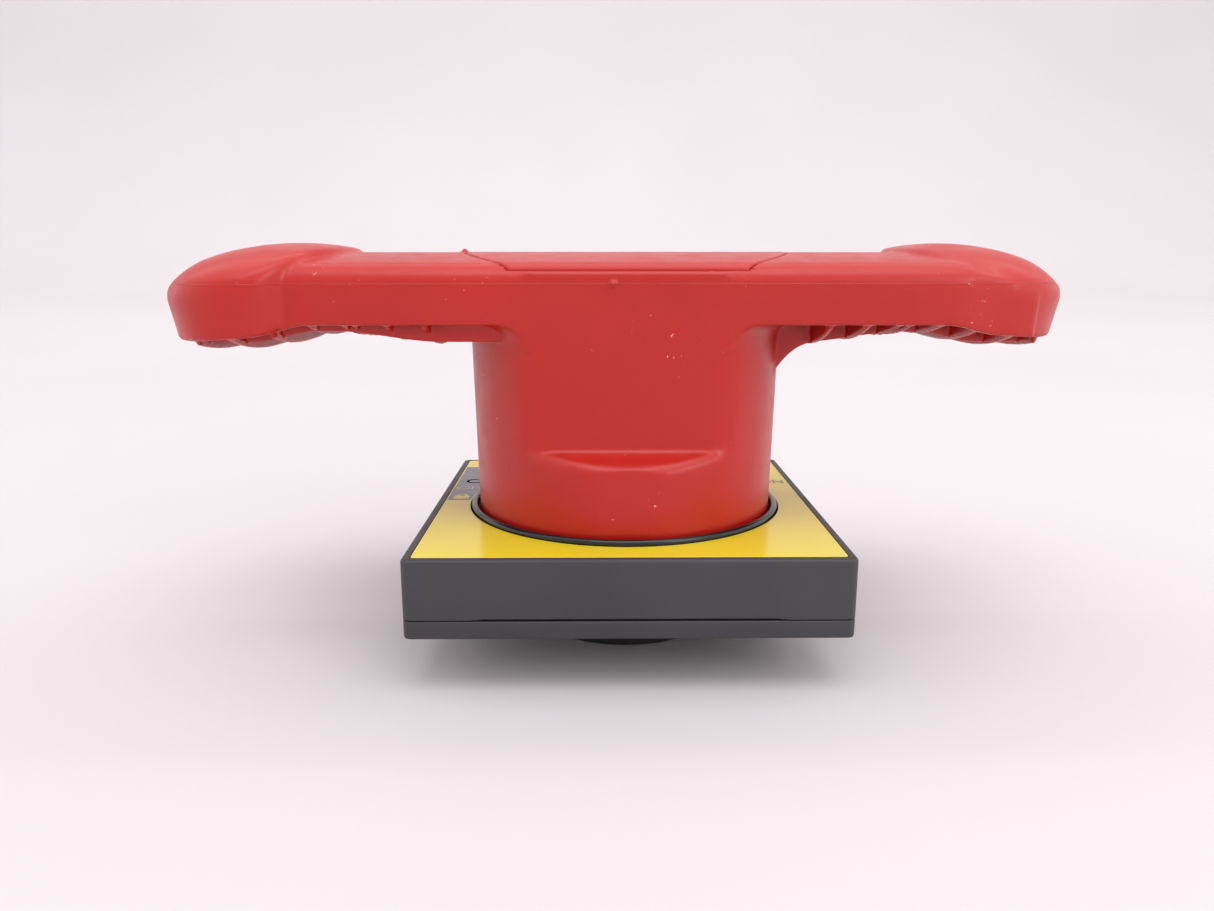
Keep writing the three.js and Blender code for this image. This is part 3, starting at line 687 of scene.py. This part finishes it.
def make_camera():
    data = bpy.data.cameras.new("camera")
    data.lens = LENS
    data.sensor_width = 36.0
    data.clip_start = 0.01
    camera = placed("camera", data)
    camera.location = Vector(EYE) * MM
    camera.rotation_euler = (math.pi / 2 - PITCH, 0, -HEADING)
    bpy.context.scene.camera = camera


# ---------- pieces ----------
def make_handle():
    low = (-TIP_X - 2, -37, FOOT_Z - 2)
    high = (TIP_X + 2, 37, SHELL_HIGH[2] + 2)
    g = Grid(low, high, VOXEL)
    mesh = field_to_mesh("handle_shell_moulding", g, handle_field(g), 0.02)
    new_piece("handle_shell_moulding", mesh, "handle", "red_plastic", RED, "handle_shell")


def make_lid():
    g = Grid((-LID_R - 1, -LID_Y - 1, LID_UNDER - 1), (LID_R + 1, LID_Y + 1, CREST_Z + 2), LID_VOXEL)
    mesh = field_to_mesh("top_cover_moulding", g, lid_field(g), 0.02)
    new_piece("top_cover_moulding", mesh, "tongue", "red_plastic", RED, "top_cover")


GAP_HALF = 34.0          # the wider stretch of the seam at the front and the back


def seam_step(points, lift):
    """Lifts the seam's edge over the middle stretch of the front and back walls."""
    raised = [abs(x) < GAP_HALF and abs(y) > HALF_BASE - 1 for x, y, _ in points]
    return [(x, y, z + (lift if up else 0)) for (x, y, z), up in zip(points, raised)]


def make_housing():
    low = HOUSING_LOW[2]
    edge = 0.8
    rounding = [square(edge * (1 - math.cos(a)), PLATE_Z - edge + edge * math.sin(a))
                for a in (math.radians(d) for d in (15, 30, 45, 60, 75, 90))]
    recess = FILM_LOW[2] - 0.05
    rings = [
        seam_step(square(0.25, low), 0.3), seam_step(square(0, low + 0.25), 0.3), square(0, low + 1.2),
        square(0, PLATE_Z - edge), *rounding,
        square(1.75, PLATE_Z), square(1.85, PLATE_Z - 0.1), square(1.85, recess),
        circle(RING_R + 0.3, recess, LOOP_ANGLES), circle(RING_R + 0.3, PLATE_Z - 3, LOOP_ANGLES),
        square(2.6, PLATE_Z - 3), square(2.6, low + 1.2), square(2.6, low),
    ]
    shell = loops_mesh("housing", rings)
    foot, deck = low + 0.3, PLATE_Z - 3
    skirt = turned("skirt", [[45.2, foot], [46.2, foot], [46.2, deck], [45.2, deck]])
    posts = [turned("post", [[1.4, foot], [4.4, foot], [4.4, deck], [1.4, deck]], x, y, 32)
             for x, y in corner_spots(COVER_SPOT)]
    mesh = merge("base_housing_moulding", [shell, skirt, *posts])
    new_piece("base_housing_moulding", mesh, "base", "grey_plastic", GREY, "base_housing")


def corner_spots(offset):
    return [(offset, offset), (-offset, offset), (-offset, -offset), (offset, -offset)]


def hole(radius, low, high, x, y, count):
    """A plain round cutter."""
    return turned("hole", [[0, low], [radius, low], [radius, high], [0, high]], x, y, count)


def make_back_cover():
    low = BASE_FLOOR
    top = 16.6
    rim = COVER_HIGH[2]
    rings = [
        square(3.0, low), square(0.5, low), square(0.15, low + 0.15), square(0, low + 0.5),
        square(0, top - 0.2), square(0.2, top),
        circle(43, top, LOOP_ANGLES), circle(43, rim, LOOP_ANGLES), circle(39, rim, LOOP_ANGLES),
        circle(39, top, LOOP_ANGLES), circle(24.8, top, LOOP_ANGLES),
        circle(24.8, low + 0.3, LOOP_ANGLES), circle(25.1, low, LOOP_ANGLES),
        square(6.0, low, 3), square(6.0, low + 1.6, 3), square(3.0, low + 1.6, 3),
    ]
    piece = placed("base_back_cover_moulding", loops_mesh("back_cover", rings))
    holes = []
    for x, y in corner_spots(COVER_SPOT):
        holes.append(hole(1.7, low - 2, 30, x, y, 32))
        holes.append(hole(3, low - 2, low + 2.4, x, y, 40))
    for x, y in corner_spots(INSERT_SPOT):
        holes.append(hole(3.3, low - 2, 30, x, y, 40))
    cut_with(piece, holes)
    dress(piece, "base", "grey_plastic", GREY, "base_back_cover")


def make_film():
    low, top = FILM_LOW[2], FILM_HIGH[2]
    inset = HALF_BASE - FILM_HIGH[0]
    rim = RING_R + 0.4
    rings = [
        square(inset, low, 2.9), square(inset, top - 0.06, 2.9), square(inset + 0.06, top, 2.9),
        circle(rim + 0.06, top, LOOP_ANGLES), circle(rim, top - 0.06, LOOP_ANGLES),
        circle(rim, low, LOOP_ANGLES),
    ]
    mesh = loops_mesh("legend_film", rings)
    new_piece("legend_film", mesh, "base", "yellow_film", YELLOW, "legend_plate")


PRINT = 0.03             # thickness of the printed fields


def print_mesh(name, curve, x, y, lift):
    """A curve's flat mesh, moved to its place on the film."""
    source = placed(name, curve)
    bpy.context.view_layer.update()
    mesh = bpy.data.meshes.new_from_object(source.evaluated_get(bpy.context.evaluated_depsgraph_get()))
    bpy.data.objects.remove(source)
    mesh.transform(Matrix.Translation((x * MM, y * MM, (PLATE_Z + lift + 0.005) * MM)))
    mesh.name = name
    return mesh


def printed(name, outline, material, holes=()):
    """A flat printed field on the film, from an outline in X and Y."""
    curve = bpy.data.curves.new(name, "CURVE")
    curve.dimensions = "2D"
    curve.fill_mode = "BOTH"
    curve.extrude = PRINT / 2 * MM
    for points in (outline, *holes):
        spline = curve.splines.new("POLY")
        spline.points.add(len(points) - 1)
        for target, (x, y) in zip(spline.points, points):
            target.co = (x * MM, y * MM, 0, 1)
        spline.use_cyclic_u = True
    mesh = print_mesh(name, curve, 0, 0, PRINT / 2)
    return new_piece(name, mesh, "base", "yellow_film", material)


BAND_DEPTH = 38.0        # the grey field reaches this far back
MARGIN = 0.4             # yellow edge beside the grey field


def arc_points(radius, start, end, count):
    steps = [start + (end - start) * k / count for k in range(count + 1)]
    return [(radius * math.cos(a), radius * math.sin(a)) for a in steps]


def make_prints():
    left = FILM_LOW[0] + MARGIN
    radius = RING_R + 0.8
    band_outline = [(left, BAND_DEPTH), (left, 0.3)]
    band_outline += arc_points(radius, math.pi - 0.01, math.pi - math.asin(BAND_DEPTH / radius), 32)
    printed("print_off_field", band_outline, GREY_PRINT)
    make_padlock_mark(-43.2, 3.6)
    printed_text("print_off_word", "OFF", -41.9, 12.2, 3.4, PALE_PRINT)
    outer, inner = ([(x - 42.0, y + 20.4) for x, y in arc_points(r, 0, 2 * math.pi, 32)[:-1]]
                    for r in (2.3, 1.6))
    printed("print_off_mark", outer, PALE_PRINT, [inner])
    printed_text("print_on_word", "ON", 42.4, 19.0, 3.4, GREY_PRINT)
    right = FILM_HIGH[0] - MARGIN
    printed("print_corner", [(right, right), (right - 4.2, right), (right, right - 3.4)], GREY_PRINT)


def make_padlock_mark(x, y):
    """Pictogram: a square body with a shackle above it."""
    body = [(-2.0, -2.6), (2.0, -2.6), (2.0, 0.6), (1.3, 0.6)]
    body += [(px, py + 1.2) for px, py in arc_points(1.3, 0, math.pi, 12)]
    body += [(-1.3, 0.6), (-2.0, 0.6)]
    eye = [(0.7, 0.6)] + [(px, py + 1.2) for px, py in arc_points(0.7, 0, math.pi, 10)] + [(-0.7, 0.6)]
    mark = printed("print_padlock", [(px + x, py + y) for px, py in body], YELLOW,
                   [[(px + x, py + y) for px, py in eye]])
    for vertex in mark.data.vertices:
        vertex.co.z += PRINT * MM        # it lies on top of the grey field


def printed_text(name, text, x, y, height, material):
    curve = bpy.data.curves.new(name, "FONT")
    curve.body = text
    curve.size = height * 1.38 * MM
    curve.align_x = "CENTER"
    curve.align_y = "CENTER"
    curve.extrude = PRINT / 2 * MM
    mesh = print_mesh(name, curve, x, y, 1.5 * PRINT)
    return new_piece(name, mesh, "base", "yellow_film", material)


def make_ring_and_seal():
    low, top = RING_LOW[2], RING_HIGH[2]
    inner = 38.0             # clear of the turning column
    middle, half = (inner + RING_R) / 2, (RING_R - inner) / 2
    crown = [[middle + half * math.cos(a), top - half + half * math.sin(a)]
             for a in (math.radians(d) for d in range(0, 181, 12))]
    profile = [[inner, low], [RING_R, low], *crown]
    new_piece("trim_ring_moulding", turned("trim_ring", profile, count=192), "base", "black_gloss",
              BLACK_GLOSS, "trim_ring")
    low, high = span("shaft_seal")
    seal = [[37.75, low[2]], [high[0] - 0.1, low[2]], [high[0], low[2] + 0.3], [high[0], high[2]],
            [38.3, high[2]], [37.75, high[2] - 0.5]]
    new_piece("shaft_seal_ring", turned("shaft_seal", seal, count=160), "base", "rubber", RUBBER,
              "shaft_seal")


def make_boss():
    top = BOSS_HIGH[2]
    outer = 24.5
    profile = [
        [18.2, 2.7], [21.8, 2.7], [21.8, 0.25], [22.05, 0], [23.7, 0], [24.1, 0.12], [24.4, 0.45],
        [outer, 0.9],
        [outer, 16.65], [27, 16.65], [27, top - 0.3], [26.7, top], [22.2, top], [22, top - 0.2],
        [22, 4.8], [18.2, 4.8],
    ]
    piece = placed("rear_boss_moulding", turned("rear_boss", profile, count=160))
    cut_with(piece, [hole(0.9, 0, 4.2, x, y, 24) for x, y in third_spots(19.9)])
    dress(piece, "base", "black_matte", BLACK, "rear_boss")


def third_spots(radius):
    angles = [math.pi / 2 + k * 2 * math.pi / 3 for k in range(3)]
    return [(radius * math.cos(a), radius * math.sin(a)) for a in angles]


def make_gasket():
    low = span("door_gasket")[0][2]
    section = [(3.25, 0.4), (3.35, 0.1), (3.7, 0), (5.3, 0), (5.65, 0.1), (5.75, 0.4), (5.75, 1.4),
               (3.25, 1.4)]
    rings = [square(inset, low + height, 3) for inset, height in section]
    new_piece("door_gasket_cord", loops_mesh("door_gasket", rings), "base", "rubber", RUBBER,
              "door_gasket")


def screw(node, body):
    """A slotted screw with a rounded head, in the place of a CAD screw. It points up."""
    low, high = span(node)
    x, y = (low[:2] + high[:2]) / 2
    head_r = (high[0] - low[0]) / 2
    cad = np.array([v.co for v in frame["nodes"][node].data.vertices]) / MM
    radii = np.hypot(cad[:, 0] - x, cad[:, 1] - y)
    wide = cad[radii > head_r * 0.97]
    head_top = wide[:, 2].max()
    shank_r = radii[(cad[:, 2] > head_top + 1.0) & (cad[:, 2] < high[2] - 0.3)].max()
    z, top = low[2], high[2]
    edge = min(0.45, (head_top - z) * 0.35)
    head = [[head_r * 0.45, z], [head_r - edge, z + 0.05], [head_r - edge * 0.3, z + edge * 0.4],
            [head_r, z + edge], [head_r, head_top - 0.1], [head_r - 0.1, head_top]]
    profile = [[0, z], *head, [shank_r, head_top], [shank_r, top - 0.6], [shank_r * 0.5, top], [0, top]]
    piece = placed(node + "_turned", turned(node, profile, x, y, 40))
    slot_depth = (head_top - z) * 0.5
    slot = bpy.data.meshes.new("slot")
    bm = bmesh.new()
    bmesh.ops.create_cube(bm, size=1.0)
    for v in bm.verts:
        v.co = (x * MM + v.co.x * head_r * 3 * MM, y * MM + v.co.y * head_r * 0.26 * MM,
                (z - 1 + slot_depth / 2) * MM + v.co.z * (slot_depth + 2) * MM)
    bm.to_mesh(slot)
    bm.free()
    cut_with(piece, [slot])
    dress(piece, body, "steel", STEEL, node)


def make_inserts():
    for k in range(1, 5):
        node = f"door_insert_{k}"
        low, high = span(node)
        x, y = (low[:2] + high[:2]) / 2
        bottom, top = low[2], high[2]
        profile = [[2.0, bottom], [2.8, bottom], [3.0, bottom + 0.2], [3.0, top - 0.2], [2.8, top],
                   [1.7, top], [1.7, bottom + 0.3]]
        new_piece(node + "_turned", turned(node, profile, x, y, 48), "base", "brass", BRASS, node)


def carry_over():
    """CAD nodes that keep their own shape get their finish, and machined edges are rounded."""
    slots = {row["node"]: row["material_slot"] for row in frame["record"]["subparts"]}
    bodies = {n: b for b, ns in frame["record"]["behaviour"]["bodies"].items() for n in ns}
    rounded = {"interlock_plate": 0.12, "lock_tongue": 0.3, "driver_hub": 0.3, "index_ring": 0.2,
               "retaining_plate": 0.15, "lock_bolt_right": 0.25, "lock_bolt_left": 0.25}
    for node, width in rounded.items():
        mesh = softened(node + "_finished", node, width)
        new_piece(node + "_finished", mesh, bodies[node], slots[node], SLOT_MATERIALS[slots[node]], node)
    for node, item in frame["nodes"].items():
        if item.hide_render:
            continue
        item.data.materials.clear()
        item.data.materials.append(SLOT_MATERIALS[slots[node]])
        smooth_by_angle(item.data)


# ---------- stage ----------
def make_stage():
    """A pale floor that sweeps up into a backdrop."""
    turn, bend, half = 1.6, 0.7, 3.2
    bend_angles = [math.radians(d) for d in range(6, 91, 6)]
    profile = [(-2.0, 0.0), (turn, 0.0)]
    profile += [(turn + bend * math.sin(a), bend - bend * math.cos(a)) for a in bend_angles]
    profile += [(2.3, 3.2)]
    points = [(side * half, y, z) for y, z in profile for side in (-1, 1)]
    faces = [(2 * k, 2 * k + 1, 2 * k + 3, 2 * k + 2) for k in range(len(profile) - 1)]
    mesh = bpy.data.meshes.new("floor")
    mesh.from_pydata(points, [], faces)
    mesh.shade_smooth()
    floor = placed("floor", mesh)
    material = bpy.data.materials.new("pale_paper")
    tree, shader = nodes_of(material)
    where = object_space(tree)
    drift = noise(tree, where, 3.0, 3.0)
    tree.links.new(ramp(tree, drift, [(0.3, (0.62, 0.580, 0.590)), (0.7, (0.64, 0.600, 0.610))]),
                   shader.inputs["Base Color"])
    shader.inputs["Roughness"].default_value = 0.75
    floor.data.materials.append(material)


def area_light(name, place, target, size, power):
    """A rectangular lamp aimed at a target. Places and sizes are in metres."""
    data = bpy.data.lights.new(name, "AREA")
    data.shape = "RECTANGLE"
    data.size, data.size_y = size
    data.energy = power
    lamp = placed(name, data)
    lamp.location = place
    direction = Vector(target) - Vector(place)
    lamp.rotation_euler = direction.to_track_quat("-Z", "Y").to_euler()


def studio_world():
    """Pale surroundings, darker on the side that the camera stands on."""
    world = bpy.data.worlds.new("studio")
    bpy.context.scene.world = world
    world.use_nodes = True
    tree = world.node_tree
    parts = tree.nodes.new("ShaderNodeSeparateXYZ")
    tree.links.new(tree.nodes.new("ShaderNodeTexCoord").outputs["Generated"], parts.inputs[0])
    depth = remap(tree, parts.outputs["Y"], -1.0, 1.0, 0.0, 1.0)
    stops = [(0.05, (0.50, 0.50, 0.52)), (0.35, (0.88, 0.86, 0.88)), (1.0, (1.0, 0.97, 1.0))]
    colour = ramp(tree, depth, stops)
    tree.links.new(colour, tree.nodes["Background"].inputs["Color"])
    tree.nodes["Background"].inputs["Strength"].default_value = 1.5


def make_lights():
    studio_world()
    area_light("overhead", (0.1, -0.45, 1.25), (0, 0, 0), (1.1, 0.7), 4.5)
    area_light("front_key", (0.8, -0.85, 0.6), (0, 0, 0.03), (0.6, 0.5), 3.2)
    area_light("backdrop_wash", (0, 0.9, 1.9), (0, 2.3, 0.7), (4.4, 0.6), 27)
    scene = bpy.context.scene
    scene.view_settings.view_transform = "Standard"
    scene.view_settings.exposure = 0.0


make_camera()
make_handle()
make_lid()
make_housing()
make_back_cover()
make_film()
make_prints()
make_ring_and_seal()
make_boss()
make_gasket()
make_inserts()
for k in range(1, 5):
    screw(f"cover_screw_{k}", "base")
    screw(f"hub_screw_{k}", "handle")
    screw(f"plate_screw_{k}", "handle")
for k in range(1, 4):
    screw(f"interlock_screw_{k}", "base")
carry_over()
make_stage()
make_lights()
